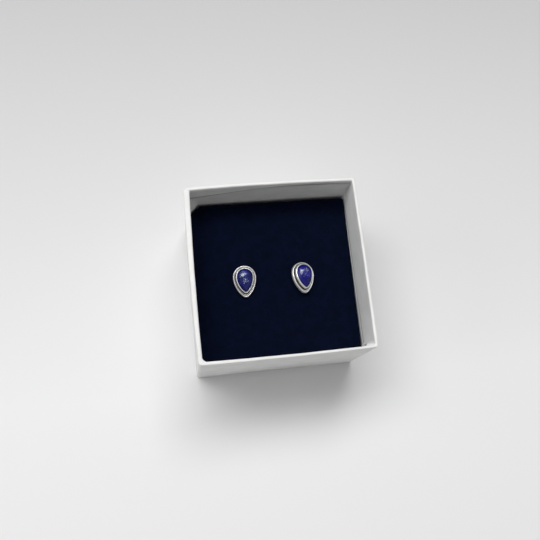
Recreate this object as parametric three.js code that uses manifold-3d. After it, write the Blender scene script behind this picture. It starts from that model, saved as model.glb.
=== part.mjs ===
// A pair of teardrop stud earrings with lapis cabochons, standing in the velvet pad of an open card gift box.
// Millimetres, +Z up, +Y to the back of the box, origin at the middle of the box's underside.
import * as THREE from "three";
import { mergeVertices } from "three/addons/utils/BufferGeometryUtils.js";
import Module from "manifold-3d";

// Card box, outside sizes and thicknesses
const BOX_WIDTH = 50;
const BOX_DEPTH = 50;
const BOX_HEIGHT = 38;
const WALL_THICKNESS = 1.1;
const FLOOR_THICKNESS = 1.3;
const BOX_CORNER_RADIUS = 0.9;

// Velvet pad, with its back left corner cut off
const PAD_RECESS = 12.7; // from the box's rim down to the pad's face
const PAD_CLEARANCE = 0.3; // to the walls and the floor
const PAD_EDGE_RADIUS = 0.5;
const PAD_CUT_WIDTH = 3.5; // along X
const PAD_CUT_DEPTH = 1.9; // along Y

// Teardrop cabochon
const STONE_WIDTH = 4.7;
const STONE_LENGTH = 7;
const STONE_TIP_RADIUS = 0.65;
const STONE_HEIGHT = 2.6;
const STONE_GIRDLE = 0.8; // the upright side below the dome
const STONE_BASE_CHAMFER = 0.15;
const STONE_CLEARANCE = 0.1; // to the plate and the bezel

// Silver setting: plate, bezel, groove and border wire, each measured outwards from the stone
const PLATE_THICKNESS = 0.5;
const BEZEL_WALL = 0.2;
const BEZEL_HEIGHT = 1.45; // above the plate
const BEZEL_LIP = 0.05; // how far the lip reaches in over the stone's edge
const GROOVE_WIDTH = 0.1;
const BORDER_WIDTH = 0.725; // round the head
const BORDER_TIP_WIDTH = 1.05; // at the tip
const BORDER_HEIGHT = 0.45; // above the plate
const BORDER_TIP_RADIUS = 1.35;

// Post behind the middle of the head
const POST_DIAMETER = 0.85;
const POST_LENGTH = 10.5;
const POST_CLEARANCE = 0.3; // round the post in the pad's bore
const SEAT_CLEARANCE = 0.3; // from the plate's lowest edge to the pad

// Where the middle of each stud's head stands, from the box's middle
const LEFT_HEAD_X = -9.4;
const LEFT_HEAD_Y = 0.5;
const RIGHT_HEAD_X = 7.95;
const RIGHT_HEAD_Y = 0.05;

// Each stud's turn about its post and its lean, in degrees
const STUDS = [
  { side: "left", x: LEFT_HEAD_X, y: LEFT_HEAD_Y, turn: 0.2, leanRight: 0, leanBack: -4 },
  { side: "right", x: RIGHT_HEAD_X, y: RIGHT_HEAD_Y, turn: 0.3, leanRight: 15, leanBack: 3 },
];

// Fineness of the facets
const ARC_STEPS = 14; // in each of a teardrop's four arcs
const CORNER_STEPS = 4;
const DOME_STEPS = 9;
const BORDER_STEPS = 6;
const LIP_STEPS = 4;
const POST_SIDES = 16;
const MERGE_DISTANCE = 1e-4; // vertices closer than this are one

const MATERIALS = {
  card: new THREE.MeshStandardMaterial({ color: 0xf2f1ee, roughness: 0.85, metalness: 0 }),
  velvet: new THREE.MeshStandardMaterial({ color: 0x0a1024, roughness: 1, metalness: 0 }),
  silver: new THREE.MeshStandardMaterial({ color: 0xd9d6d0, roughness: 0.3, metalness: 1 }),
  lapis: new THREE.MeshStandardMaterial({ color: 0x1c2378, roughness: 0.12, metalness: 0 }),
};

const wasm = await Module();
wasm.setup();

// Booleans

function solidOf(geometry, matrix = new THREE.Matrix4()) {
  const bare = geometry.clone().applyMatrix4(matrix);
  bare.deleteAttribute("normal");
  bare.deleteAttribute("uv");
  const merged = mergeVertices(bare, MERGE_DISTANCE);
  return new wasm.Manifold(
    new wasm.Mesh({
      numProp: 3,
      vertProperties: merged.attributes.position.array,
      triVerts: new Uint32Array(merged.index.array),
    }),
  );
}

function geometryOf(solid) {
  const mesh = solid.getMesh();
  const geometry = new THREE.BufferGeometry();
  geometry.setAttribute("position", new THREE.BufferAttribute(mesh.vertProperties, 3));
  geometry.setIndex(new THREE.BufferAttribute(mesh.triVerts, 1));
  geometry.computeVertexNormals();
  return geometry;
}

// Outlines

// Four arcs, anticlockwise: a round head about the origin, two long sides and a small tip that reaches to -Y.
// The inset moves the whole line inwards by that distance, or outwards where it is negative.
function teardrop({ head, reach, tip }, inset = 0) {
  const drop = reach - tip;
  const side = (drop ** 2 / (head - tip) + head + tip) / 2;
  const shift = side - head;
  const meet = Math.atan2(drop, shift);
  const arcs = [
    new THREE.ArcCurve(0, 0, head - inset, 0, Math.PI, false),
    new THREE.ArcCurve(shift, 0, side - inset, Math.PI, Math.PI + meet, false),
    new THREE.ArcCurve(0, -drop, tip - inset, Math.PI + meet, 2 * Math.PI - meet, false),
    new THREE.ArcCurve(-shift, 0, side - inset, 2 * Math.PI - meet, 2 * Math.PI, false),
  ];
  return arcs.flatMap((arc) => arc.getPoints(ARC_STEPS).slice(0, -1));
}

const STONE_OUTLINE = {
  head: STONE_WIDTH / 2,
  reach: STONE_LENGTH - STONE_WIDTH / 2,
  tip: STONE_TIP_RADIUS,
};
const BEZEL_OUTSET = STONE_CLEARANCE + BEZEL_WALL;
const GROOVE_OUTSET = BEZEL_OUTSET + GROOVE_WIDTH;
const BORDER_OUTLINE = {
  head: STONE_OUTLINE.head + GROOVE_OUTSET + BORDER_WIDTH,
  reach: STONE_OUTLINE.reach + GROOVE_OUTSET + BORDER_TIP_WIDTH,
  tip: BORDER_TIP_RADIUS,
};

function roundedRectangle(width, depth, radius) {
  const shape = new THREE.Shape();
  const x = width / 2 - radius;
  const y = depth / 2 - radius;
  shape.absarc(x, y, radius, 0, Math.PI / 2, false);
  shape.absarc(-x, y, radius, Math.PI / 2, Math.PI, false);
  shape.absarc(-x, -y, radius, Math.PI, 1.5 * Math.PI, false);
  shape.absarc(x, -y, radius, 1.5 * Math.PI, 2 * Math.PI, false);
  return shape;
}

function rectangle(width, depth) {
  return new THREE.Shape([
    new THREE.Vector2(width / 2, -depth / 2),
    new THREE.Vector2(width / 2, depth / 2),
    new THREE.Vector2(-width / 2, depth / 2),
    new THREE.Vector2(-width / 2, -depth / 2),
  ]);
}

// Skins

// A ring at height z from outline points.
function ring(points, z) {
  return points.map((p) => new THREE.Vector3(p.x, p.y, z));
}

// A closed skin over rings with equally many points, listed from the underside's middle round to the top's.
function skin(rings, bottomMiddle, topMiddle) {
  const count = rings[0].length;
  const points = [...rings.flat(), bottomMiddle, topMiddle];
  const bottom = points.length - 2;
  const top = points.length - 1;
  const last = (rings.length - 1) * count;
  const index = [];
  for (let i = 0; i < count; i++) {
    const next = (i + 1) % count;
    index.push(bottom, next, i);
    for (let r = 0; r < last; r += count) {
      index.push(r + i, r + next, r + count + next);
      index.push(r + i, r + count + next, r + count + i);
    }
    index.push(last + i, last + next, top);
  }
  return new THREE.BufferGeometry().setFromPoints(points).setIndex(index);
}

// Stone

// How far the dome has drawn in at a height above the stone's base, as a share of the base outline.
function domeShare(height) {
  const rise = Math.max(height - STONE_GIRDLE, 0) / (STONE_HEIGHT - STONE_GIRDLE);
  return Math.sqrt(1 - rise ** 2);
}

// The base outline drawn in to a share. Towards the tip it draws in more slowly, by head over reach,
// so that the dome falls off as steeply at the tip as round the head.
function domeRing(share, z) {
  const towardsTip = share ** (STONE_OUTLINE.head / STONE_OUTLINE.reach);
  const drawn = teardrop(STONE_OUTLINE).map(
    (p) => new THREE.Vector2(p.x * share, p.y * (p.y < 0 ? towardsTip : share)),
  );
  return ring(drawn, z);
}

function stoneGeometry() {
  const base = PLATE_THICKNESS + STONE_CLEARANCE;
  const rings = [
    ring(teardrop(STONE_OUTLINE, STONE_BASE_CHAMFER), base),
    ring(teardrop(STONE_OUTLINE), base + STONE_BASE_CHAMFER),
  ];
  for (let i = 0; i < DOME_STEPS; i++) {
    const angle = ((Math.PI / 2) * i) / DOME_STEPS;
    const height = STONE_GIRDLE + (STONE_HEIGHT - STONE_GIRDLE) * Math.sin(angle);
    rings.push(domeRing(domeShare(height), base + height));
  }
  return skin(rings, new THREE.Vector3(0, 0, base), new THREE.Vector3(0, 0, base + STONE_HEIGHT));
}

// Setting

// The half-round border wire over the plate's edge, from its outer foot to its inner foot at the groove.
function borderRings() {
  const outer = teardrop(BORDER_OUTLINE);
  const inner = teardrop(STONE_OUTLINE, -GROOVE_OUTSET);
  const rings = [];
  for (let i = 0; i <= BORDER_STEPS; i++) {
    const angle = (Math.PI * i) / BORDER_STEPS;
    const across = (1 - Math.cos(angle)) / 2;
    const line = outer.map((p, k) => p.clone().lerp(inner[k], across));
    rings.push(ring(line, PLATE_THICKNESS + BORDER_HEIGHT * Math.sin(angle)));
  }
  return rings;
}

// The bezel from its outer foot up over the lip and down its inside, which follows the dome at the clearance.
function bezelRings() {
  const top = PLATE_THICKNESS + BEZEL_HEIGHT;
  const shoulder = top - BEZEL_WALL - BEZEL_LIP;
  const rings = [ring(teardrop(STONE_OUTLINE, -BEZEL_OUTSET), PLATE_THICKNESS)];
  for (let i = 0; i <= LIP_STEPS; i++) {
    const angle = (Math.PI / 2) * (i / LIP_STEPS);
    const inset = (BEZEL_OUTSET + BEZEL_LIP) * (1 - Math.cos(angle)) - BEZEL_OUTSET;
    rings.push(ring(teardrop(STONE_OUTLINE, inset), shoulder + (top - shoulder) * Math.sin(angle)));
  }
  for (let i = 1; i <= LIP_STEPS; i++) {
    const z = top + ((shoulder - BEZEL_WALL - top) * i) / LIP_STEPS;
    const drawnIn = STONE_OUTLINE.head * (1 - domeShare(z - PLATE_THICKNESS - STONE_CLEARANCE));
    const inset = Math.min(drawnIn - STONE_CLEARANCE, BEZEL_LIP);
    rings.push(ring(teardrop(STONE_OUTLINE, inset), z));
  }
  rings.push(ring(teardrop(STONE_OUTLINE, -STONE_CLEARANCE), PLATE_THICKNESS));
  return rings;
}

// The post hangs down from the plate's underside and ends in a round tip.
function postGeometry() {
  const radius = POST_DIAMETER / 2;
  const straight = POST_LENGTH - radius;
  const profile = [new THREE.Vector2(0, -POST_LENGTH)];
  for (let i = 1; i <= CORNER_STEPS; i++) {
    const angle = (Math.PI / 2) * (i / CORNER_STEPS);
    profile.push(new THREE.Vector2(radius * Math.sin(angle), -straight - radius * Math.cos(angle)));
  }
  profile.push(new THREE.Vector2(radius, PLATE_THICKNESS / 2), new THREE.Vector2(0, PLATE_THICKNESS / 2));
  return new THREE.LatheGeometry(profile, POST_SIDES).rotateX(Math.PI / 2);
}

function settingGeometry() {
  const rings = [ring(teardrop(BORDER_OUTLINE), 0), ...borderRings(), ...bezelRings()];
  const plate = skin(rings, new THREE.Vector3(0, 0, 0), new THREE.Vector3(0, 0, PLATE_THICKNESS));
  return geometryOf(solidOf(plate).add(solidOf(postGeometry())));
}

// Box

function boxGeometry() {
  const outside = new THREE.ExtrudeGeometry(
    roundedRectangle(BOX_WIDTH, BOX_DEPTH, BOX_CORNER_RADIUS),
    { depth: BOX_HEIGHT, bevelEnabled: false, curveSegments: CORNER_STEPS },
  );
  const hollow = new THREE.ExtrudeGeometry(
    rectangle(BOX_WIDTH - 2 * WALL_THICKNESS, BOX_DEPTH - 2 * WALL_THICKNESS),
    { depth: BOX_HEIGHT, bevelEnabled: false },
  );
  hollow.translate(0, 0, FLOOR_THICKNESS);
  return geometryOf(solidOf(outside).subtract(solidOf(hollow)));
}

// Pad

const PAD_WIDTH = BOX_WIDTH - 2 * (WALL_THICKNESS + PAD_CLEARANCE);
const PAD_DEPTH = BOX_DEPTH - 2 * (WALL_THICKNESS + PAD_CLEARANCE);
const PAD_BOTTOM = FLOOR_THICKNESS + PAD_CLEARANCE;
const PAD_TOP = BOX_HEIGHT - PAD_RECESS;

function padShape() {
  const x = PAD_WIDTH / 2;
  const y = PAD_DEPTH / 2;
  return new THREE.Shape([
    new THREE.Vector2(x, -y),
    new THREE.Vector2(x, y),
    new THREE.Vector2(-x + PAD_CUT_WIDTH, y),
    new THREE.Vector2(-x, y - PAD_CUT_DEPTH),
    new THREE.Vector2(-x, -y),
  ]);
}

// A bore along each post, deeper than the post is long. It runs up past the plate, so it opens at the pad's face.
function boreGeometry() {
  const radius = POST_DIAMETER / 2 + POST_CLEARANCE;
  const bottom = -POST_LENGTH - POST_CLEARANCE;
  const top = BORDER_OUTLINE.head;
  const bore = new THREE.CylinderGeometry(radius, radius, top - bottom, POST_SIDES);
  return bore.rotateX(Math.PI / 2).translate(0, 0, (top + bottom) / 2);
}

function padGeometry(studs) {
  const block = new THREE.ExtrudeGeometry(padShape(), {
    depth: PAD_TOP - PAD_BOTTOM - 2 * PAD_EDGE_RADIUS,
    bevelThickness: PAD_EDGE_RADIUS,
    bevelSize: PAD_EDGE_RADIUS,
    bevelOffset: -PAD_EDGE_RADIUS,
    bevelSegments: CORNER_STEPS,
  });
  block.translate(0, 0, PAD_BOTTOM + PAD_EDGE_RADIUS);
  const bored = studs.reduce(
    (pad, stud) => pad.subtract(solidOf(boreGeometry(), stud.matrix)),
    solidOf(block),
  );
  return geometryOf(bored);
}

// Assembly

function namedMesh(name, geometry, material) {
  const mesh = new THREE.Mesh(geometry, material);
  mesh.name = name;
  return mesh;
}

// A stud in its place: turned about its post, leaned, and lifted until its lowest edge clears the pad.
function studGroup({ side, x, y, turn, leanRight, leanBack }) {
  const group = new THREE.Group();
  group.rotation.set(
    THREE.MathUtils.degToRad(-leanBack),
    THREE.MathUtils.degToRad(leanRight),
    THREE.MathUtils.degToRad(turn),
  );
  const edge = ring(teardrop(BORDER_OUTLINE), 0).map((p) => p.applyEuler(group.rotation).z);
  group.position.set(x, y, PAD_TOP + SEAT_CLEARANCE - Math.min(...edge));
  group.add(namedMesh(side + "_setting", settingGeometry(), MATERIALS.silver));
  group.add(namedMesh(side + "_stone", stoneGeometry(), MATERIALS.lapis));
  group.updateMatrix();
  return group;
}

const studs = STUDS.map(studGroup);
const giftBox = new THREE.Group();
giftBox.add(namedMesh("box_tray", boxGeometry(), MATERIALS.card));
giftBox.add(namedMesh("velvet_pad", padGeometry(studs), MATERIALS.velvet));
giftBox.add(...studs);

export default giftBox;
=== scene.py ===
"""A pair of teardrop lapis studs standing in the velvet pad of an open white card gift box.

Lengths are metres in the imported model's frame: +Z up, +Y to the back of the box, origin under its middle.
Sizes are written in millimetres, times MM.
"""

import math

import bpy
import numpy as np
from mathutils import Euler, Matrix, Vector


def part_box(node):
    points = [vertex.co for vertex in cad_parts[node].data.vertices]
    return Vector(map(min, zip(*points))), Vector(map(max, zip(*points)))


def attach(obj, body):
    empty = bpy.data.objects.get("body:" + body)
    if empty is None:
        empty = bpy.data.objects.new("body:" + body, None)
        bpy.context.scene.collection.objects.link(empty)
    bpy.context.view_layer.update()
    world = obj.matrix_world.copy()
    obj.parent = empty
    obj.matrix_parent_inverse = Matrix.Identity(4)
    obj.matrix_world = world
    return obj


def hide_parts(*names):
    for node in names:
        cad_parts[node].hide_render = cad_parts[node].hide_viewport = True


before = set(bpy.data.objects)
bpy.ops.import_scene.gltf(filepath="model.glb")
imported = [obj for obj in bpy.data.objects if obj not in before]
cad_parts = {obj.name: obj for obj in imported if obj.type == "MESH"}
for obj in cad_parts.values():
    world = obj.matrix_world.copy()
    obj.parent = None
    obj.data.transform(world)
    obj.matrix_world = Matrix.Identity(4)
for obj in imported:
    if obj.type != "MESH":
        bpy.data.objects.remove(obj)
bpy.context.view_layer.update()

MM = 0.001
QUARTER = math.pi / 2

# Camera, worked out from the corners of the box in the photograph
CAMERA_PLACE = Vector((-28.67, -45.6, 242.49)) * MM
CAMERA_TARGET = Vector((-3.0, -0.5, 38.0)) * MM
CAMERA_ROLL = math.radians(24.28)
LENS = 49.69
SENSOR = 36.0

# Soft boxes, with their directions in degrees, their distances and sizes in metres and their radiances
LIGHTS = [
    {"name": "window", "azimuth": 198, "elevation": 66,
     "distance": 1.0, "size": (1.0, 0.34), "radiance": 7.35},
    {"name": "left_wall", "azimuth": 265, "elevation": 26,
     "distance": 1.2, "size": (0.6, 0.6), "radiance": 1.3},
]
# The room's grey by the height of the direction looked in, from 0, level, to 1, straight up
ROOM_GREYS = ((0.0, 0.04), (0.22, 0.07), (0.40, 0.35), (0.70, 0.34), (0.88, 0.27), (1.0, 0.27))
# The table's grey at the front and the back, darker at the back as painted light falloff, and where those lie
TABLE_FALLOFF_GREYS = (0.90, 0.58)
TABLE_SPAN = (-30 * MM, 120 * MM)

# Card tray
_, TRAY_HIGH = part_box("box_tray")
TRAY_HALF = TRAY_HIGH.x
RIM_HEIGHT = TRAY_HIGH.z
WALL = 1.1 * MM
TRAY_FLOOR = 1.3 * MM
RIM_OUTER_EDGE = 0.30 * MM
RIM_INNER_EDGE = 0.40 * MM
BASE_EDGE = 0.25 * MM
PAPER = 0.11 * MM
# How far the turned-in paper stands off the back wall at the back left corner, where it is loose
LOOSE_PAPER = 0.40 * MM
# How much of that push is there at the rim, and how much further round the rim's inner edge is rolled there
RIM_PUSH = 0.2
LOOSE_ROLL = 2.5
# Across the turned-in paper's edge: how much of its thickness is gone, the height over its line in
# millimetres, and how much of the loose paper's push is left
PAPER_EDGE = ((0.0, 0.05, 1.0), (0.3, 0.01, 0.97), (1.0, -0.03, 0.0))
# The edge's painted shade line, standing in for the shadow under its step, shows where its line lies less
# than the first depth below the rim, and none is left at the second
EDGE_SHADE_DEPTHS = (8 * MM, 10 * MM)
LINE_WAVE = 0.06 * MM
RIM_WAVE = 0.05 * MM
WALL_WAVE = 0.035 * MM
# The slit between the papers at the back left corner of the rim
SLIT_DEPTH = 0.45 * MM
SLIT_WIDTH = math.radians(5)
# Where the inner wall's closer rows end, over the pad, and its rows below that, in millimetres
OVER_PAD = 27.0 * MM
LOW_ROWS = (26.4, 26.0, 25.75, 25.5, 20.0, 12.0, 5.0)
# How far each wall bows out at its middle, and how far below the rim the turned-in paper ends at the wall's
# start, middle and end, in millimetres, going anticlockwise from the right wall
WALLS = [
    {"wall": "right", "bow": 0.12, "turn_in": (13.5, 13.5, 13.5)},
    {"wall": "back", "bow": 0.34, "turn_in": (1.3, 1.4, 5.7)},
    {"wall": "left", "bow": 0.30, "turn_in": (5.7, 4.0, 3.6)},
    {"wall": "front", "bow": 0.22, "turn_in": (3.6, 3.0, 3.0)},
]
# The corner after each of those walls, in millimetres. Outer is its outer radius, and inner how far from
# the corner the paper folds across its inside at the heights FOLD_HEIGHTS: an arc, or as far as flat says
# a plain facet. Rim and base are how far the hand-folded corner stands off square, and thin how far the
# wall's inside stands back from there at the rim, which it starts to do at the height THIN_FROM.
FOLD_HEIGHTS = (25.5, 26.0, 32.0, 36.0, 37.6)
THIN_FROM = 26 * MM
CORNERS = [
    {"corner": "back right", "outer": 0.95, "inner": (0.35, 0.35, 0.35, 0.35, 0.35), "flat": 0.0,
     "rim": (-0.12, 0.20), "base": (-0.10, 0.10), "thin": (0.30, 0.30)},
    {"corner": "back left", "outer": 1.50, "inner": (3.20, 3.10, 0.60, 0.30, 0.30), "flat": 1.0,
     "rim": (-0.42, 0.62), "base": (-0.20, 0.30), "thin": (0.62, 0.08)},
    {"corner": "front left", "outer": 0.95, "inner": (0.50, 1.10, 1.10, 1.10, 1.10), "flat": 0.4,
     "rim": (-0.25, -0.64), "base": (-0.55, -0.62), "thin": (0.0, -0.12)},
    {"corner": "front right", "outer": 0.80, "inner": (0.45, 0.60, 2.20, 1.60, 0.40), "flat": 1.0,
     "rim": (0.28, -0.12), "base": (0.35, -0.32), "thin": (0.20, -0.36)},
]

# Velvet pad
PAD_LOW, PAD_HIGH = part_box("velvet_pad")
PAD_CUT = (3.3 * MM, 2.7 * MM)
PAD_CORNER = 0.9 * MM
PAD_ROLL = 0.8 * MM
PAD_NAP = 0.12 * MM
PAD_CROWN = 0.10 * MM
PAD_WAVE = 0.035 * MM
# How far the pad's corners stand off the tray's, in millimetres and in the tray corners' order
PAD_PUSH = ((0.25, -0.45), (0.0, -0.22), (0.0, 0.0), (-0.45, 0.0))
# The bowl that each stud presses into the velvet, in millimetres: how far its middle lies in front of the
# post, its reaches across and along, its depth, and how much deeper it is at a low edge. Then the prick
# round the post
DENT_FORWARD = 1.2
DENT_REACH = (4.6, 6.0)
DENT_DEPTH = 0.06
LOW_EDGE_DENT = 0.4
LOW_EDGE = 3.4
PRICK_DEPTH = 0.5
PRICK_REACH = 0.9

# Studs, in millimetres: stone, setting and post. The stone's head is a little wider than its solid's, so
# that it fills its lip. Each stud's pale places are listed as (x, y, reach, strength), partly calcite and
# partly a painted highlight, and its blues go from deep to light
STONE = {"head": 2.41, "reach": 4.65, "tip": 0.65}
BORDER = {"head": 3.475, "reach": 6.1, "tip": 1.35}
STONE_HEIGHT = 2.6
STONE_GIRDLE = 0.8
STONE_CHAMFER = 0.15
STONE_UNEVEN = 0.012
PLATE = 0.5
STONE_SEAT = 0.6
BEZEL_OUTSET = 0.27
BEZEL_FOOT = 0.10
BEZEL_SIDE = 1.02
LIP_WIDTH = 0.24
LIP_RISE = 0.31
LIP_TAPS = 0.012
LIP_BEAT = 0.008
GROOVE_OUTSET = 0.36
WIRE_INSET = 0.03
WIRE_WIDTH = 0.46
WIRE_RISE = 0.43
WIRE_TAPS = 0.006
WIRE_BEAT = 0.006
POST_RADIUS = 0.425
POST_LENGTH = 10.5
POST_SOLDER = 0.06
BORE_RADIUS = 0.6
BORE_PAST_POST = 0.3
BORE_TOP = 1.5
STUDS = [
    {"side": "left", "head": (-9.4, 0.5), "turn": 0.2, "lean_right": 0.0, "lean_back": -4.0, "seed": 0.0,
     "calcite_and_highlight": ((-10.0, 0.75, 1.7, 1.0), (-9.35, -1.1, 1.6, 0.8)),
     "blues": ((0.001, 0.004, 0.06), (0.004, 0.008, 0.12), (0.020, 0.028, 0.21))},
    {"side": "right", "head": (7.95, 0.05), "turn": 0.3, "lean_right": 15.0, "lean_back": 3.0, "seed": 2.3,
     "calcite_and_highlight": ((7.3, 0.5, 1.0, 1.0), (8.9, 0.55, 1.4, 0.8), (8.6, -0.8, 1.0, 0.6)),
     "blues": ((0.001, 0.001, 0.08), (0.003, 0.003, 0.16), (0.018, 0.022, 0.22))},
]
STUD_GAP = 0.3


# Meshes


def make_piece(name, points, faces):
    """A smooth mesh object from an (n, 3) array of points and a list of face arrays, each (m, corners)."""
    mesh = bpy.data.meshes.new(name)
    corners = np.concatenate([f.ravel() for f in faces]).astype(np.int32)
    sizes = np.concatenate([np.full(len(f), f.shape[1]) for f in faces])
    starts = np.concatenate([[0], np.cumsum(sizes)[:-1]]).astype(np.int32)
    mesh.vertices.add(len(points))
    mesh.vertices.foreach_set("co", points.astype(np.float32).ravel())
    mesh.loops.add(len(corners))
    mesh.loops.foreach_set("vertex_index", corners)
    mesh.polygons.add(len(sizes))
    mesh.polygons.foreach_set("loop_start", starts)
    mesh.polygons.foreach_set("use_smooth", np.ones(len(sizes), dtype=bool))
    mesh.update(calc_edges=True)
    mesh.validate()
    piece = bpy.data.objects.new(name, mesh)
    bpy.context.scene.collection.objects.link(piece)
    return piece


def skin(rings, first_pole, last_pole):
    """Points and faces of a closed skin over (rows, columns, 3) rings that close on themselves.

    Quads join each ring to the next, and a fan of triangles joins each end ring to its pole.
    The rings run anticlockwise and from the underside's middle round to the top's, so faces point out.
    """
    rows, columns = rings.shape[:2]
    points = np.concatenate([rings.reshape(-1, 3), [first_pole], [last_pole]])
    number = np.arange(rows * columns).reshape(rows, columns)
    after = np.roll(number, -1, axis=1)
    quads = np.stack([number[:-1], after[:-1], after[1:], number[1:]], axis=-1).reshape(-1, 4)
    first = np.full(columns, rows * columns)
    start = np.stack([first, after[0], number[0]], axis=-1)
    end = np.stack([number[-1], after[-1], first + 1], axis=-1)
    return points, [quads, start, end]


def join_skins(parts):
    """One set of points and faces from several, each a pair of points and face arrays."""
    shift = 0
    points, faces = [], []
    for part_points, part_faces in parts:
        points.append(part_points)
        faces.extend(f + shift for f in part_faces)
        shift += len(part_points)
    return np.concatenate(points), faces


def mark(piece, name, values):
    """Gives a piece's points a number each, which its material reads by that name."""
    attribute = piece.data.attributes.new(name, "FLOAT", "POINT")
    attribute.data.foreach_set("value", np.asarray(values, dtype=np.float32).ravel())


def smooth_step(x, low, high):
    """0 below low, 1 above high, and 3t^2 - 2t^3 between."""
    t = np.clip((x - low) / (high - low), 0, 1)
    return t * t * (3 - 2 * t)


def ripple(x, seed):
    """A slow uneven wave of x with a height of about 1: three sines whose rates don't divide each other."""
    return (
        0.5 * np.sin(2.1 * x + seed)
        + 0.3 * np.sin(4.7 * x + 1.9 * seed + 1.0)
        + 0.2 * np.sin(9.3 * x + 2.7 * seed + 2.0)
    )


# Card tray


def square_rings(half, radii, flat, side_steps, corner_steps):
    """Rings of a square with round corners, one for each half size, and each point's place on its wall.

    Each wall is a straight run from the end of one corner's arc to the start of the next, turned a quarter
    for each wall, anticlockwise from the right one. Half is (rows,) and radii is (rows, 4), in metres.
    Flat, (rows, 4), is how far each arc is drawn back to the straight line across its corner.
    Returns points (rows, columns, 2), outward directions (columns, 2) and each column's wall, its run from
    -1 to 1 and its arc angle.
    """
    run = np.linspace(0, 1, side_steps)
    run = 0.5 - 0.5 * np.cos(math.pi * run)
    angle = np.linspace(0, QUARTER, corner_steps + 2)[1:-1]
    chord = angle / QUARTER
    points, outward, wall, along, arc = [], [], [], [], []
    for k in range(4):
        before, after = radii[:, k - 1, None], radii[:, k, None]
        size, facet = half[:, None], flat[:, k, None]
        across = np.cos(angle) + (1 - chord - np.cos(angle)) * facet
        up = np.sin(angle) + (chord - np.sin(angle)) * facet
        side_y = -(size - before) + run * (2 * size - before - after)
        x = np.concatenate([size + 0 * run, size - after + after * across], axis=1)
        y = np.concatenate([side_y, size - after + after * up], axis=1)
        turn = np.concatenate([0 * run, angle]) + k * QUARTER
        c, s = round(math.cos(k * QUARTER)), round(math.sin(k * QUARTER))
        points.append(np.stack([c * x - s * y, s * x + c * y], axis=-1))
        outward.append(np.stack([np.cos(turn), np.sin(turn)], axis=-1))
        wall.append(np.full(len(turn), k))
        along.append(np.concatenate([2 * run - 1, 1 + 0 * angle]))
        arc.append(np.concatenate([0 * run, angle]))
    return (
        np.concatenate(points, axis=1),
        np.concatenate(outward),
        np.concatenate(wall),
        np.concatenate(along),
        np.concatenate(arc),
    )


def from_corners(x, y, pushes):
    """A push at every place from four at the corners, shared out by the place along each side.

    The pushes are (x, y) pairs in millimetres at the back right, back left, front left and front right.
    """
    right, back = (1 + x / TRAY_HALF) / 2, (1 + y / TRAY_HALF) / 2
    left, front = 1 - right, 1 - back
    shares = np.stack([right * back, left * back, left * front, right * front], axis=-1)
    return shares @ (np.array(pushes) * MM)


def settle(points):
    """Points of the square tray, or of what lies in it, carried to its uneven hand-folded shape."""
    x, y, z = points[..., 0], points[..., 1], points[..., 2]
    rim = from_corners(x, y, [c["rim"] for c in CORNERS])
    base = from_corners(x, y, [c["base"] for c in CORNERS])
    settled = points.copy()
    settled[..., :2] += base + (rim - base) * (z / RIM_HEIGHT)[..., None]
    return settled


def quarter_round(radius, steps):
    """Inset and rise of a quarter circle from its foot on the outer face to its crest."""
    angle = np.linspace(0, QUARTER, steps)
    return radius * (1 - np.cos(angle)), radius * np.sin(angle)


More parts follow.
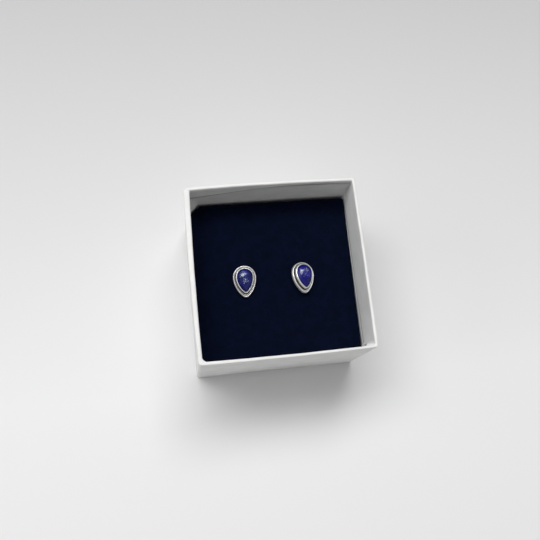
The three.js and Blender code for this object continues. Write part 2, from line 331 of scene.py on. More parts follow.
def make_tray():
    """The paper-wrapped card tray: a wall section carried round a square with round corners.

    The section goes up the outer face, over the rim's two rolled edges and down the inner face, where the
    turned-in paper ends in a step whose edge carries a painted shade line, to the floor. Each wall bows out
    by bow (1 - run^2), growing with height.
    """
    side_steps, corner_steps = 72, 14
    columns = 4 * (side_steps + corner_steps)
    ring, corner = np.ones(1), np.ones((1, 4))
    _, _, wall, along, arc = square_rings(ring, corner, corner, side_steps, corner_steps)
    ends = np.array([w["turn_in"] for w in WALLS]) * MM
    first, middle, last = ends[wall].T
    line = np.where(along < 0, middle + (first - middle) * -along, middle + (last - middle) * along)
    next_line = np.roll(ends[:, 0], -1)[wall]
    line = line + (next_line - line) * smooth_step(arc, 0.3 * QUARTER, 0.7 * QUARTER)
    line = line + LINE_WAVE * ripple(3 * along + wall, 0.7) * (1 - along**2)
    loose = (wall == 1) * smooth_step(along, -0.7, 1.0) * (1 - smooth_step(arc, 0, 0.8 * QUARTER))
    flat = np.zeros(columns)
    insets, heights, flaps, edge_shades = [], [], [], []

    def row(inset, height, flap=0.0, edge_shade=0.0):
        insets.append(flat + inset)
        heights.append(flat + height)
        flaps.append(flap)
        edge_shades.append(edge_shade)

    out, up = quarter_round(BASE_EDGE, 4)
    row(TRAY_HALF / 2, 0)
    for inset, rise in zip(out[::-1], up[::-1]):
        row(inset, BASE_EDGE - rise)
    for height in np.linspace(BASE_EDGE, RIM_HEIGHT - RIM_OUTER_EDGE, 16)[1:-1]:
        row(0, height)
    out, up = quarter_round(RIM_OUTER_EDGE, 7)
    for inset, rise in zip(out, up):
        row(inset, RIM_HEIGHT - RIM_OUTER_EDGE + rise)
    out, up = quarter_round(RIM_INNER_EDGE, 8)
    soft = 1 + LOOSE_ROLL * loose
    for inset, rise in zip(out[::-1], up[::-1]):
        flap = RIM_PUSH * (1 - inset / RIM_INNER_EDGE)
        row(WALL - inset, RIM_HEIGHT - (RIM_INNER_EDGE - rise) * soft, flap)
    # The lowest rows of the turned-in paper are marked for the painted shade line along its edge
    for part, edge_shade in ((0.25, 0.0), (0.5, 0.0), (0.75, 0.0), (0.84, 0.0), (0.9, 1.0)):
        fall = RIM_INNER_EDGE * soft + part * (line - RIM_INNER_EDGE * soft)
        row(WALL, RIM_HEIGHT - fall, RIM_PUSH + (1 - RIM_PUSH) * part, edge_shade)
    for gone, over, flap in PAPER_EDGE:
        row(WALL - gone * PAPER, RIM_HEIGHT - line + over * MM, flap, 1.0)
    under_line = RIM_HEIGHT - line - 0.06 * MM
    closer_end = np.minimum(OVER_PAD, under_line - 0.02 * MM)
    for part in np.linspace(0, 1, 8)[1:]:
        row(WALL - PAPER, under_line + part * (closer_end - under_line))
    for height in (*LOW_ROWS, TRAY_FLOOR / MM):
        row(WALL - PAPER, np.minimum(height * MM, under_line - 0.03 * MM))
    row(TRAY_HALF / 2, TRAY_FLOOR)
    insets, heights = np.array(insets), np.array(heights)

    mean_inset, mean_height = insets.mean(axis=1), heights.mean(axis=1)
    inner = smooth_step(mean_inset, 0.45 * WALL, 0.75 * WALL)[:, None]
    folds = [np.interp(mean_height / MM, FOLD_HEIGHTS, c["inner"]) for c in CORNERS]
    outer_radius = np.array([c["outer"] for c in CORNERS]) * MM - mean_inset[:, None]
    radii = np.maximum(outer_radius, 0.2 * MM) * (1 - inner) + np.stack(folds, axis=-1) * MM * inner
    facets = inner * [c["flat"] for c in CORNERS]
    places, outward, wall, along, arc = square_rings(
        TRAY_HALF - mean_inset, radii, facets, side_steps, corner_steps
    )

    height_share = np.clip((heights - TRAY_FLOOR) / (RIM_HEIGHT - TRAY_FLOOR), 0, 1)
    bow = np.array([w["bow"] for w in WALLS])[wall] * MM
    push = bow * (1 - along**2) * height_share**1.4
    push = push + WALL_WAVE * ripple(4 * along + 2 * wall, 0.4) * (1 - along**2) * height_share
    push = push - LOOSE_PAPER * loose * np.array(flaps)[:, None]
    rim_wave = RIM_WAVE * ripple(2.5 * along + 1.7 * wall, 1.3) * (1 - along**4)
    heights = heights + rim_wave * height_share**6
    slit = np.exp(-(((arc - 0.5 * QUARTER) / SLIT_WIDTH) ** 2)) * (wall == 1) * (arc > 0)
    on_rim = smooth_step(mean_inset, 0.30 * WALL, 0.6 * WALL) * (mean_height > RIM_HEIGHT - 0.4 * MM)
    heights = heights - SLIT_DEPTH * slit * on_rim[:, None]
    places = places + outward * push[..., None]
    thin = from_corners(places[..., 0], places[..., 1], [c["thin"] for c in CORNERS])
    places = places + thin * (inner * smooth_step(mean_height, THIN_FROM, RIM_HEIGHT)[:, None])[..., None]
    rings = settle(np.concatenate([places, heights[..., None]], axis=-1))
    piece = make_piece("card_tray", *skin(rings, (0, 0, 0), (0, 0, TRAY_FLOOR)))
    # Painted shade along the paper's edge, faded out where its line lies deep below the rim
    edge_shaded = np.outer(edge_shades, 1 - smooth_step(line, *EDGE_SHADE_DEPTHS))
    mark(piece, "edge_shade", np.concatenate([edge_shaded.ravel(), [0, 0]]))
    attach(piece, "root")
    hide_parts("box_tray")
    return piece


# Velvet pad


def rounded_polygon(corners, radius, side_steps, corner_steps):
    """Points and outward directions round a convex polygon whose corners are arcs of one radius.

    Each arc's middle lies on the corner's bisector, radius over the sine of half the corner's angle
    inwards, and straight runs join the arcs. Corners run anticlockwise.
    """
    corners = np.asarray(corners, dtype=float)
    forward = np.roll(corners, -1, axis=0) - corners
    forward /= np.linalg.norm(forward, axis=1)[:, None]
    normal = np.stack([forward[:, 1], -forward[:, 0]], axis=1)
    before = np.roll(normal, 1, axis=0)
    bisector = normal + before
    middle = corners - bisector * (radius / (1 + np.sum(normal * before, axis=1)))[:, None]
    start = np.arctan2(before[:, 1], before[:, 0])
    sweep = (np.arctan2(normal[:, 1], normal[:, 0]) - start) % (2 * math.pi)
    part = np.linspace(0, 1, corner_steps)
    angle = start[:, None] + sweep[:, None] * part
    outward = np.stack([np.cos(angle), np.sin(angle)], axis=-1)
    arcs = middle[:, None] + radius * outward
    run = np.linspace(0, 1, side_steps + 2)[1:-1, None]
    sides = arcs[:, -1, None] + (np.roll(arcs[:, 0], -1, axis=0) - arcs[:, -1])[:, None] * run
    side_outward = np.broadcast_to(normal[:, None], sides.shape)
    points = np.concatenate([arcs, sides], axis=1).reshape(-1, 2)
    return points, np.concatenate([outward, side_outward], axis=1).reshape(-1, 2)


def stud_matrix(stud):
    """A stud's place: turned about its post, leaned, and lifted until its lowest edge clears the pad."""
    turn = Euler(
        (math.radians(-stud["lean_back"]), math.radians(stud["lean_right"]), math.radians(stud["turn"]))
    ).to_matrix()
    edge, _ = teardrop(BORDER, np.zeros(1))
    lowest = min((turn @ Vector((x, y, 0))).z for x, y in edge[0])
    lift = PAD_HIGH.z / MM + STUD_GAP - lowest
    return Matrix.Translation(Vector((*stud["head"], lift)) * MM) @ turn.to_4x4() @ Matrix.Scale(MM, 4)


def pad_dents(x, y):
    """How far the studs press the velvet down.

    Under each is a bowl, depth exp(-reach^4), deeper at a low edge, and a prick, depth exp(-reach^2).
    """
    dent = np.zeros_like(x)
    for stud in STUDS:
        away_x = x / MM - stud["head"][0]
        away_y = y / MM - stud["head"][1]
        reach = np.hypot(away_x / DENT_REACH[0], (away_y + DENT_FORWARD) / DENT_REACH[1])
        lean = math.sin(math.radians(stud["lean_right"]))
        deeper = LOW_EDGE_DENT * max(lean, 0) * np.clip(away_x / LOW_EDGE, -0.2, 1)
        dent += (DENT_DEPTH + deeper) * np.exp(-(reach**4))
        dent += PRICK_DEPTH * np.exp(-((np.hypot(away_x, away_y) / PRICK_REACH) ** 2))
    return dent * MM


def make_pad():
    """The velvet pad: a rounded five-sided block with rolled edges and a barely crowned, napped top.

    Rings go from under the middle out, up the side, round the roll and in to the top's middle.
    The top's height is crown (1 - x^4)(1 - y^4), less the studs' dents, plus a slow ripple.
    """
    x, y = PAD_HIGH.x + PAD_NAP, PAD_HIGH.y + PAD_NAP
    corners = [(x, -y), (x, y), (-x + PAD_CUT[0], y), (-x, y - PAD_CUT[1]), (-x, -y)]
    outline, outward = rounded_polygon(corners, PAD_CORNER, side_steps=70, corner_steps=10)
    top = PAD_HIGH.z + PAD_NAP
    insets, heights, shares = [], [], []

    def row(inset, height, share=1.0):
        insets.append(inset)
        heights.append(height)
        shares.append(share)

    row(PAD_ROLL, PAD_LOW.z, 0.5)
    for angle in np.linspace(0, QUARTER, 5):
        row(PAD_ROLL * (1 - math.sin(angle)), PAD_LOW.z + PAD_ROLL * (1 - math.cos(angle)))
    for height in np.linspace(PAD_LOW.z + PAD_ROLL, top - PAD_ROLL, 12)[1:-1]:
        row(0, height)
    for angle in np.linspace(0, QUARTER, 9):
        row(PAD_ROLL * (1 - math.cos(angle)), top - PAD_ROLL * (1 - math.sin(angle)))
    for share in np.linspace(1, 0, 110)[1:-1]:
        row(PAD_ROLL, top, share)
    insets, heights, shares = np.array(insets), np.array(heights), np.array(shares)
    places = (outline - outward * insets[:, None, None]) * shares[:, None, None]
    px, py = places[..., 0], places[..., 1]
    height = np.broadcast_to(heights[:, None], px.shape).copy()
    crown = PAD_CROWN * (1 - (px / x) ** 4) * (1 - (py / y) ** 4)
    wave = PAD_WAVE * (ripple(px / (6 * MM), 0.5) + ripple(py / (5 * MM) + px / (9 * MM), 1.7))
    facing_up = height > top - 0.05 * MM
    height += np.where(facing_up, crown + wave - pad_dents(px, py), 0)
    places = places + from_corners(px, py, PAD_PUSH)
    rings = settle(np.concatenate([places, height[..., None]], axis=-1))
    middle = top + PAD_CROWN
    piece = make_piece("velvet_foam_pad", *skin(rings, (0, 0, PAD_LOW.z), (0, 0, middle)))
    for stud in STUDS:
        bore_post_hole(piece, stud)
    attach(piece, "root")
    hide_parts("velvet_pad")
    return piece


def bore_post_hole(pad, stud):
    """Cuts a stud's post hole: a round column along the post, from over the pad to past the post's end."""
    angle = np.linspace(0, 2 * math.pi, 24, endpoint=False)
    circle = np.stack([BORE_RADIUS * np.cos(angle), BORE_RADIUS * np.sin(angle)], axis=-1)
    levels = np.array([-POST_LENGTH - BORE_PAST_POST, BORE_TOP])
    rings = np.stack([np.column_stack([circle, np.full(len(angle), z)]) for z in levels])
    points, faces = skin(rings, (0, 0, levels[0]), (0, 0, levels[1]))
    cutter = make_piece("cutter_" + stud["side"], place(points, stud_matrix(stud)), faces)
    cut = pad.modifiers.new("hole", "BOOLEAN")
    cut.operation = "DIFFERENCE"
    cut.solver = "EXACT"
    cut.object = cutter
    depsgraph = bpy.context.evaluated_depsgraph_get()
    bored = bpy.data.meshes.new_from_object(pad.evaluated_get(depsgraph))
    pad.modifiers.clear()
    pad.data = bored
    bpy.data.objects.remove(cutter)


def place(points, matrix):
    """Points, (..., 3), carried by a 4 by 4 matrix."""
    m = np.array(matrix)
    return points @ m[:3, :3].T + m[:3, 3]


# Studs, in millimetres in each stud's own frame: the middle of the plate's underside below the head


def teardrop(outline, inset, arc_steps=72):
    """Rings of four arcs, one for each inset: a round head, two long sides and a small tip towards -Y.

    With drop = reach - tip, the side arcs' radius is (drop^2 / (head - tip) + head + tip) / 2 and their
    middles lie that radius less head away, so the arcs meet without a kink. An inset shortens each radius.
    Returns points (rows, columns, 2) and outward directions (columns, 2).
    """
    head, reach, tip = outline["head"], outline["reach"], outline["tip"]
    drop = reach - tip
    side = (drop**2 / (head - tip) + head + tip) / 2
    shift = side - head
    meet = math.atan2(drop, shift)
    part = np.linspace(0, 1, arc_steps, endpoint=False)
    arcs = [
        (0, 0, head, 0, math.pi),
        (shift, 0, side, math.pi, math.pi + meet),
        (0, -drop, tip, math.pi + meet, 2 * math.pi - meet),
        (-shift, 0, side, 2 * math.pi - meet, 2 * math.pi),
    ]
    angle = np.concatenate([a + (b - a) * part for _, _, _, a, b in arcs])
    radius = np.repeat([r for _, _, r, _, _ in arcs], arc_steps)
    middle = np.repeat([(x, y) for x, y, _, _, _ in arcs], arc_steps, axis=0)
    outward = np.stack([np.cos(angle), np.sin(angle)], axis=-1)
    inset = np.asarray(inset, dtype=float)
    if inset.ndim == 1:
        inset = inset[:, None]
    return middle + (radius - inset)[..., None] * outward, outward


def dome_rings(shares, heights, seed):
    """Rings of the cabochon's dome: the outline drawn in to a share, at a height.

    X shrinks by the share, and so does Y round the head. Towards the tip Y shrinks by the share to the
    power head over reach, which makes the dome fall off as steeply at the tip as round the head.
    """
    outline = teardrop(STONE, np.zeros(1))[0][0]
    share = shares[:, None]
    tip_share = share ** (STONE["head"] / STONE["reach"])
    x = outline[:, 0] * share
    y = np.where(outline[:, 1] < 0, outline[:, 1] * tip_share, outline[:, 1] * share)
    uneven = STONE_UNEVEN * ripple(1.3 * x + 0.9 * y, seed)
    z = np.broadcast_to(heights[:, None], x.shape) + uneven * (1 - share)
    return np.stack([x, y, z], axis=-1)


def make_stone(stud):
    """A teardrop cabochon: a chamfered base, an upright girdle and a dome of quarter ellipses."""
    foot, _ = teardrop(STONE, [STONE_CHAMFER, 0.0, 0.0])
    foot_heights = np.array([0, STONE_CHAMFER, 0.5 * STONE_GIRDLE])[:, None] + np.zeros(foot.shape[:2])
    base = np.concatenate([foot, STONE_SEAT + foot_heights[..., None]], axis=-1)
    angle = QUARTER * np.linspace(0, 1, 90)[:-1] ** 0.9
    rise = (STONE_HEIGHT - STONE_GIRDLE) * np.sin(angle)
    dome = dome_rings(np.cos(angle), STONE_SEAT + STONE_GIRDLE + rise, stud["seed"])
    crest = STONE_SEAT + STONE_HEIGHT
    points, faces = skin(np.concatenate([base, dome]), (0, 0, STONE_SEAT), (0, 0, crest))
    piece = make_piece(stud["side"] + "_cabochon", place(points, stud_matrix(stud)), faces)
    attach(piece, "root")
    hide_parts(stud["side"] + "_stone")
    return piece


def dome_inset(height):
    """How far the dome has drawn in from the stone's outline at a height over the seat."""
    rise = max(height - STONE_GIRDLE, 0) / (STONE_HEIGHT - STONE_GIRDLE)
    return STONE["head"] * (1 - math.sqrt(1 - rise**2))


def setting_section():
    """The setting's section, from the plate's underside round to the seat under the stone.

    Each row is an outline, an offset, a height and how dark the silver is painted there: tarnish, and painted
    shade in the groove, at the bezel's foot and in the gap under the lip. On the plate's edge and the border
    wire the offset is an inset from the border's outline. Across the solder between wire and groove it is a
    share of the way. On the bezel it is an inset from the stone's outline.
    """
    rows = [("edge", 1.2, 0.0, 0.6), ("edge", 0.10, 0.0, 0.5), ("edge", 0.04, 0.02, 0.4)]
    rows += [("edge", 0.01, 0.07, 0.2), ("edge", 0.0, 0.13, 0.0), ("edge", 0.0, 0.40, 0.0)]
    for angle in np.linspace(0.15, 2.55, 26):
        inset = WIRE_INSET + WIRE_WIDTH / 2 * (1 - math.cos(angle))
        rows.append(("edge", inset, PLATE + WIRE_RISE * math.sin(angle), 0.7 * (angle > 2.35)))
    # Tarnish with painted shade: the solder darkens down into the groove by the bezel
    rows += [("solder", 0.08, PLATE + 0.17, 0.9), ("solder", 0.25, PLATE + 0.14, 0.55)]
    rows += [("solder", 0.50, PLATE + 0.13, 0.40), ("solder", 0.75, PLATE + 0.12, 0.6)]
    rows += [("solder", 0.92, PLATE + 0.06, 1.0), ("solder", 1.0, PLATE + 0.02, 1.0)]
    rows += [("bezel", -0.33, PLATE + 0.02, 1.0), ("bezel", -0.29, PLATE + 0.04, 1.0)]
    # The bezel's foot is painted dark as shade, fading to bright up its side
    foot = PLATE + BEZEL_FOOT
    for part in np.linspace(0, 1, 12):
        tarnish_and_shade = 1.0 - 0.9 * smooth_step(part, 0.40, 0.75)
        rows.append(("bezel", -BEZEL_OUTSET, foot + BEZEL_SIDE * part, tarnish_and_shade))
    lip = foot + BEZEL_SIDE
    for angle in np.linspace(0, QUARTER, 12)[1:]:
        inset = -BEZEL_OUTSET + LIP_WIDTH * (1 - math.cos(angle))
        rows.append(("bezel", inset, lip + LIP_RISE * math.sin(angle), 0.0))
    crest = lip + LIP_RISE
    # Painted shade in the gap under the lip, down to the stone's seat
    rows += [("bezel", -0.012, crest - 0.002, 0.1), ("bezel", 0.002, crest - 0.015, 0.6)]
    rows += [("bezel", 0.01, crest - 0.04, 1.0), ("bezel", 0.01, crest - 0.13, 1.0)]
    for height in (1.7, 1.6, 1.5, 1.3, 1.0):
        rows.append(("bezel", min(dome_inset(height - STONE_SEAT) - 0.03, 0.005), height, 1.0))
    rows += [("bezel", -0.05, STONE_SEAT, 1.0), ("bezel", 0.0, PLATE, 1.0), ("bezel", 0.4, PLATE, 1.0)]
    return rows


def make_setting(stud):
    """A soldered setting: the section carried round the border's and the stone's outlines, and the post.

    Hand work shows as slow ripples round the outline: taps in the wire's and the lip's place across, and
    beat in their height.
    """
    rows = setting_section()
    kind = np.array([r[0] for r in rows])
    offset = np.array([r[1] for r in rows])
    height = np.array([r[2] for r in rows])
    tarnish_and_shade = np.array([r[3] for r in rows])
    columns = 288
    turn = np.linspace(0, 2 * math.pi, columns, endpoint=False)
    seed = stud["seed"]
    on_wire = smooth_step(height, PLATE + 0.2, PLATE + 0.4) * (kind == "edge")
    on_lip = smooth_step(height, 1.5, 1.9) * smooth_step(offset, -0.25, 0.1) * (kind == "bezel")
    beat = np.sin(2 * turn + seed) + 0.4 * np.sin(5 * turn + 2 * seed)
    taps = np.sin(3 * turn + 1 + seed) + 0.4 * np.sin(7 * turn + 2 * seed)
    offsets = offset[:, None] + (WIRE_TAPS * on_wire + LIP_TAPS * on_lip)[:, None] * taps
    heights = height[:, None] + (WIRE_BEAT * on_wire + LIP_BEAT * on_lip)[:, None] * beat
    edge, _ = teardrop(BORDER, np.where((kind == "edge")[:, None], offsets, WIRE_INSET + 0.92 * WIRE_WIDTH))
    groove, _ = teardrop(STONE, np.full(len(rows), -GROOVE_OUTSET))
    across = np.where(kind == "solder", offset, 0.0)[:, None, None]
    bezel, _ = teardrop(STONE, np.where((kind == "bezel")[:, None], offsets, 0.0))
    places = np.where((kind == "bezel")[:, None, None], bezel, edge + (groove - edge) * across)
    rings = np.concatenate([places, heights[..., None]], axis=-1)
    plate = skin(rings, (0, 0, 0), (0, 0, PLATE))
    post = post_skin()
    points, faces = join_skins([plate, post])
    piece = make_piece(stud["side"] + "_silver_setting", place(points, stud_matrix(stud)), faces)
    shade = np.concatenate([np.repeat(tarnish_and_shade, columns), [0.6, 1.0], np.full(len(post[0]), 0.2)])
    mark(piece, "tarnish_and_shade", shade)
    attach(piece, "root")
    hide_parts(stud["side"] + "_setting")
    return piece


def post_skin():
    """The post: a circle carried down from inside the plate to a half-round end."""
    angle = np.linspace(0, 2 * math.pi, 40, endpoint=False)
    circle = np.stack([np.cos(angle), np.sin(angle)], axis=-1)
    ends = np.linspace(0, QUARTER, 9)[1:]
    levels = [(POST_RADIUS * math.sin(a), -POST_LENGTH + POST_RADIUS * (1 - math.cos(a))) for a in ends]
    levels += [(POST_RADIUS, -POST_LENGTH / 2), (POST_RADIUS, -0.1)]
    levels += [(POST_RADIUS + POST_SOLDER, 0.0), (POST_RADIUS, 0.2)]
    rings = np.stack([np.column_stack([r * circle, np.full(len(angle), z)]) for r, z in levels])
    return skin(rings, (0, 0, -POST_LENGTH), (0, 0, 0.2))


# Materials


def new_finish(name):
    """A material with a Principled shader, as its tree and its shader node."""
    material = bpy.data.materials.new(name)
    material.use_nodes = True
    tree = material.node_tree
    return material, tree, tree.nodes["Principled BSDF"]


def add_node(tree, kind, inputs=None, **settings):
    """One node. Settings are its properties, and inputs its sockets, each a value or another's socket."""
    made = tree.nodes.new(kind)
    for key, value in settings.items():
        setattr(made, key, value)
    for key, value in (inputs or {}).items():
        if isinstance(value, bpy.types.NodeSocket):
            tree.links.new(value, made.inputs[key])
        else:
            made.inputs[key].default_value = value
    return made


def calculate(tree, operation, a, b):
    """One value from two."""
    return add_node(tree, "ShaderNodeMath", {0: a, 1: b}, operation=operation).outputs[0]


def object_place(tree):
    return add_node(tree, "ShaderNodeTexCoord").outputs["Object"]


def scaled(tree, vector, scale):
    """A vector with each of its three values multiplied by its own scale."""
    return add_node(tree, "ShaderNodeVectorMath", {0: vector, 1: scale}, operation="MULTIPLY").outputs[0]


def noise(tree, vector, size, detail=3.0, roughness=0.5, distortion=0.0):
    """Noise whose features are about size metres across."""
    inputs = {
        "Vector": vector,
        "Scale": 1 / size,
        "Detail": detail,
        "Roughness": roughness,
        "Distortion": distortion,
    }
    return add_node(tree, "ShaderNodeTexNoise", inputs).outputs["Fac"]


def ramp(tree, value, stops):
    """A colour for each value, from (place, colour) stops."""
    made = add_node(tree, "ShaderNodeValToRGB", {"Fac": value})
    band = made.color_ramp.elements
    for i, (at, colour) in enumerate(stops):
        element = band[i] if i < 2 else band.new(at)
        element.position = at
        element.color = (*colour, 1)
    return made.outputs["Color"]


def spread(tree, value, low, high, from_low=0.0, from_high=1.0):
    """A value from one range carried to another, held at its ends."""
    inputs = {"Value": value, "From Min": from_low, "From Max": from_high, "To Min": low, "To Max": high}
    return add_node(tree, "ShaderNodeMapRange", inputs).outputs["Result"]


def mixed(tree, share, a, b, blend="MIX"):
    """Colour a, gone over to b by a share."""
    made = add_node(tree, "ShaderNodeMix", data_type="RGBA", blend_type=blend)
    for key, value in ((0, share), (6, a), (7, b)):
        if isinstance(value, bpy.types.NodeSocket):
            tree.links.new(value, made.inputs[key])
        else:
            made.inputs[key].default_value = value if key == 0 else (*value, 1)
    return made.outputs[2]


def relief(tree, shader, height, distance, strength):
    """Bump on a shader, with its depth in metres."""
    bump = add_node(tree, "ShaderNodeBump", {"Height": height, "Distance": distance, "Strength": strength})
    tree.links.new(bump.outputs["Normal"], shader.inputs["Normal"])


def paper_finish():
    """Matt white wrapping paper: fine fibres, a slow mottle and faint streaks drawn level along the walls.

    The turned-in paper's edge is painted grey: a painted shade line standing in for the shadow under its
    step.
    """
    material, tree, shader = new_finish("white_wrap_paper")
    at = object_place(tree)
    fibre = noise(tree, at, 0.28 * MM, 6, 0.62)
    mottle = noise(tree, at, 5 * MM, 3, 0.5)
    drawn = scaled(tree, at, (0.10, 0.10, 1.0))
    streak = noise(tree, drawn, 1.3 * MM, 5, 0.65)
    blend = spread(tree, calculate(tree, "ADD", mottle, streak), 0, 1, 0.6, 1.4)
    colour = ramp(tree, blend, [(0.3, (0.85, 0.855, 0.845)), (0.7, (0.915, 0.915, 0.905))])
    edge_shade = add_node(tree, "ShaderNodeAttribute", attribute_name="edge_shade").outputs["Fac"]
    # Painted shade: the paper's edge darkened grey as the shadow under its step
    edge_shaded = mixed(tree, spread(tree, edge_shade, 0, 0.75), colour, (0.30, 0.29, 0.28))
    tree.links.new(edge_shaded, shader.inputs["Base Color"])
    tree.links.new(spread(tree, fibre, 0.55, 0.78), shader.inputs["Roughness"])
    shader.inputs["Specular IOR Level"].default_value = 0.35
    relief(tree, shader, calculate(tree, "ADD", fibre, streak), 0.05 * MM, 0.5)
    return material


def velvet_finish():
    """Navy velvet: a short brushed nap, darker where it lies over and with a blue sheen at its edges."""
    material, tree, shader = new_finish("navy_velvet")
    at = object_place(tree)
    nap = noise(tree, at, 0.16 * MM, 4, 0.65)
    brushed = noise(tree, at, 2.6 * MM, 4, 0.6, 0.6)
    tone = calculate(tree, "MULTIPLY", nap, brushed)
    colour = ramp(tree, tone, [(0.10, (0.0003, 0.0014, 0.0070)), (0.45, (0.0014, 0.0046, 0.0210))])
    tree.links.new(colour, shader.inputs["Base Color"])
    shader.inputs["Roughness"].default_value = 0.95
    shader.inputs["Specular IOR Level"].default_value = 0.08
    shader.inputs["Sheen Weight"].default_value = 0.10
    shader.inputs["Sheen Roughness"].default_value = 0.35
    shader.inputs["Sheen Tint"].default_value = (0.06, 0.15, 0.45, 1)
    relief(tree, shader, nap, 0.12 * MM, 0.8)
    return material


def silver_finish():
    """Softly polished silver with fine wheel marks, dull and brown-black in grooves: tarnish and painted
    shade.
    """
    material, tree, shader = new_finish("polished_silver")
    at = object_place(tree)
    tarnish_shade = add_node(tree, "ShaderNodeAttribute", attribute_name="tarnish_and_shade").outputs["Fac"]
    cloud = noise(tree, at, 0.5 * MM, 4, 0.6)
    patchy = calculate(tree, "MULTIPLY", tarnish_shade, spread(tree, cloud, 0.75, 1.25, 0.3, 0.7))
    share = spread(tree, patchy, 0, 1, 0.25, 1.0)
    bright = ramp(tree, cloud, [(0.35, (0.92, 0.91, 0.89)), (0.65, (0.98, 0.975, 0.96))])
    # The brown-black is tarnish together with painted shade in the hollows
    tree.links.new(mixed(tree, share, bright, (0.03, 0.024, 0.02)), shader.inputs["Base Color"])
    shader.inputs["Metallic"].default_value = 0.74
    marks = noise(tree, at, 0.10 * MM, 4, 0.6)
    dull = calculate(tree, "ADD", spread(tree, marks, 0.0, 0.22), share)
    tree.links.new(spread(tree, dull, 0.29, 0.58), shader.inputs["Roughness"])
    relief(tree, shader, marks, 0.002 * MM, 0.3)
    return material


def lapis_finish(stud):
    """Polished lapis lazuli: deep blue with lighter clouds, brassy flecks and pale calcite here and there.

    Calcite, partly a painted highlight, gathers about a few places, most strongly at their middles, and fades
    out to their reach.
    """
    material, tree, shader = new_finish(stud["side"] + "_polished_lapis")
    at = object_place(tree)
    cloud = noise(tree, at, 1.6 * MM, 5, 0.6, 0.8)
    deep, middle, light = stud["blues"]
    body = ramp(tree, cloud, [(0.32, deep), (0.50, middle), (0.70, light)])
    flat = scaled(tree, at, (1, 1, 0))
    patch = 0.0
    # Pale places: partly calcite, partly a painted highlight where the lamp's reflection lies
    for x, y, reach, strength in stud["calcite_and_highlight"]:
        ends = {0: flat, 1: (x * MM, y * MM, 0)}
        away = add_node(tree, "ShaderNodeVectorMath", ends, operation="DISTANCE").outputs["Value"]
        near = spread(tree, away, strength, 0, 0.2 * reach * MM, reach * MM)
        patch = calculate(tree, "MAXIMUM", near, patch)
    gathered = spread(tree, patch, -0.04, 0.16)
    wisp = noise(tree, at, 0.62 * MM, 6, 0.7, 1.2)
    calcite_and_highlight = spread(tree, calculate(tree, "ADD", wisp, gathered), 0, 0.85, 0.60, 0.76)
    wispy = mixed(tree, calcite_and_highlight, body, (0.11, 0.15, 0.33))
    crumbs = noise(tree, at, 0.30 * MM, 3, 0.6, 0.9)
    crumb = calculate(tree, "ADD", crumbs, spread(tree, patch, -0.16, 0.08))
    # Pale crumbs near those places, part of the painted highlight
    pale = mixed(tree, spread(tree, crumb, 0, 1, 0.575, 0.62), wispy, (0.48, 0.54, 0.72))
    cells = add_node(tree, "ShaderNodeTexVoronoi", {"Vector": at, "Scale": 1 / (0.55 * MM)})
    uneven = spread(tree, crumbs, -0.10, 0.12, 0.35, 0.65)
    fleck = spread(tree, calculate(tree, "ADD", cells.outputs["Distance"], uneven), 1, 0, 0.04, 0.10)
    tree.links.new(mixed(tree, fleck, pale, (0.40, 0.32, 0.17)), shader.inputs["Base Color"])
    shader.inputs["Roughness"].default_value = 0.09
    shader.inputs["IOR"].default_value = 1.52
    relief(tree, shader, wisp, 0.012 * MM, 0.3)
    return material


def floor_finish():
    """A plain pale table with painted shade: a little darker towards the back, where less light falls."""
    material, tree, shader = new_finish("pale_table")
    at = object_place(tree)
    depth = add_node(tree, "ShaderNodeSeparateXYZ", {0: at}).outputs["Y"]
    # Painted light falloff: the table darkens towards the back
    tone = spread(tree, depth, *TABLE_FALLOFF_GREYS, *TABLE_SPAN)
    colour = add_node(tree, "ShaderNodeCombineColor", {0: tone, 1: tone, 2: tone})
    tree.links.new(colour.outputs[0], shader.inputs["Base Color"])
    shader.inputs["Roughness"].default_value = 0.8
    shader.inputs["Specular IOR Level"].default_value = 0.2
    return material


def dress(piece, material):
    piece.data.materials.clear()
    piece.data.materials.append(material)


# Studio


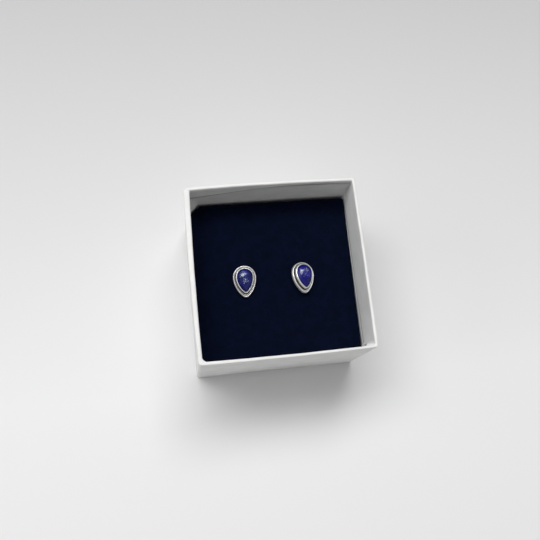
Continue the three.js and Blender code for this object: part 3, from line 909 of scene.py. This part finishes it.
def make_camera():
    """Looks from its place at its target, rolled about its own axis so that +Y runs nearly up the picture."""
    data = bpy.data.cameras.new("camera")
    data.lens = LENS
    data.sensor_width = SENSOR
    data.clip_start = 0.01
    camera = bpy.data.objects.new("camera", data)
    aim = (CAMERA_TARGET - CAMERA_PLACE).to_track_quat("-Z", "Y").to_matrix()
    turn = aim @ Matrix.Rotation(CAMERA_ROLL, 3, "Z")
    camera.matrix_world = Matrix.Translation(CAMERA_PLACE) @ turn.to_4x4()
    bpy.context.scene.collection.objects.link(camera)
    bpy.context.scene.camera = camera


def make_light(name, azimuth, elevation, distance, size, radiance):
    """A flat soft box that faces the card box. Its power is radiance times pi times its area."""
    data = bpy.data.lights.new(name, "AREA")
    data.shape = "RECTANGLE"
    data.size, data.size_y = size
    data.energy = radiance * math.pi * size[0] * size[1]
    light = bpy.data.objects.new(name, data)
    a, e = math.radians(azimuth), math.radians(elevation)
    back = Vector((math.sin(a) * math.cos(e), -math.cos(a) * math.cos(e), math.sin(e)))
    aim = back.to_track_quat("Z", "Y").to_matrix().to_4x4()
    light.matrix_world = Matrix.Translation(back * distance) @ aim
    bpy.context.scene.collection.objects.link(light)


def make_room():
    """A room that is dark low down and pale above, by the height of the direction looked in."""
    world = bpy.data.worlds.new("room")
    world.use_nodes = True
    tree = world.node_tree
    ground = add_node(tree, "ShaderNodeTexCoord").outputs["Generated"]
    height = add_node(tree, "ShaderNodeSeparateXYZ", {0: ground}).outputs["Z"]
    tone = ramp(tree, height, [(at, (grey,) * 3) for at, grey in ROOM_GREYS])
    tree.links.new(tone, tree.nodes["Background"].inputs["Color"])
    bpy.context.scene.world = world


def make_studio():
    """The table, a wide soft window light from high behind, a weak low one from the left, and the room."""
    bpy.ops.mesh.primitive_plane_add(size=4)
    table = bpy.context.object
    table.name = "table"
    dress(table, floor_finish())
    for light in LIGHTS:
        make_light(**light)
    make_room()
    bpy.context.scene.view_settings.view_transform = "Standard"


make_camera()
make_studio()
dress(make_tray(), paper_finish())
dress(make_pad(), velvet_finish())
silver = silver_finish()
for stud in STUDS:
    dress(make_setting(stud), silver)
    dress(make_stone(stud), lapis_finish(stud))
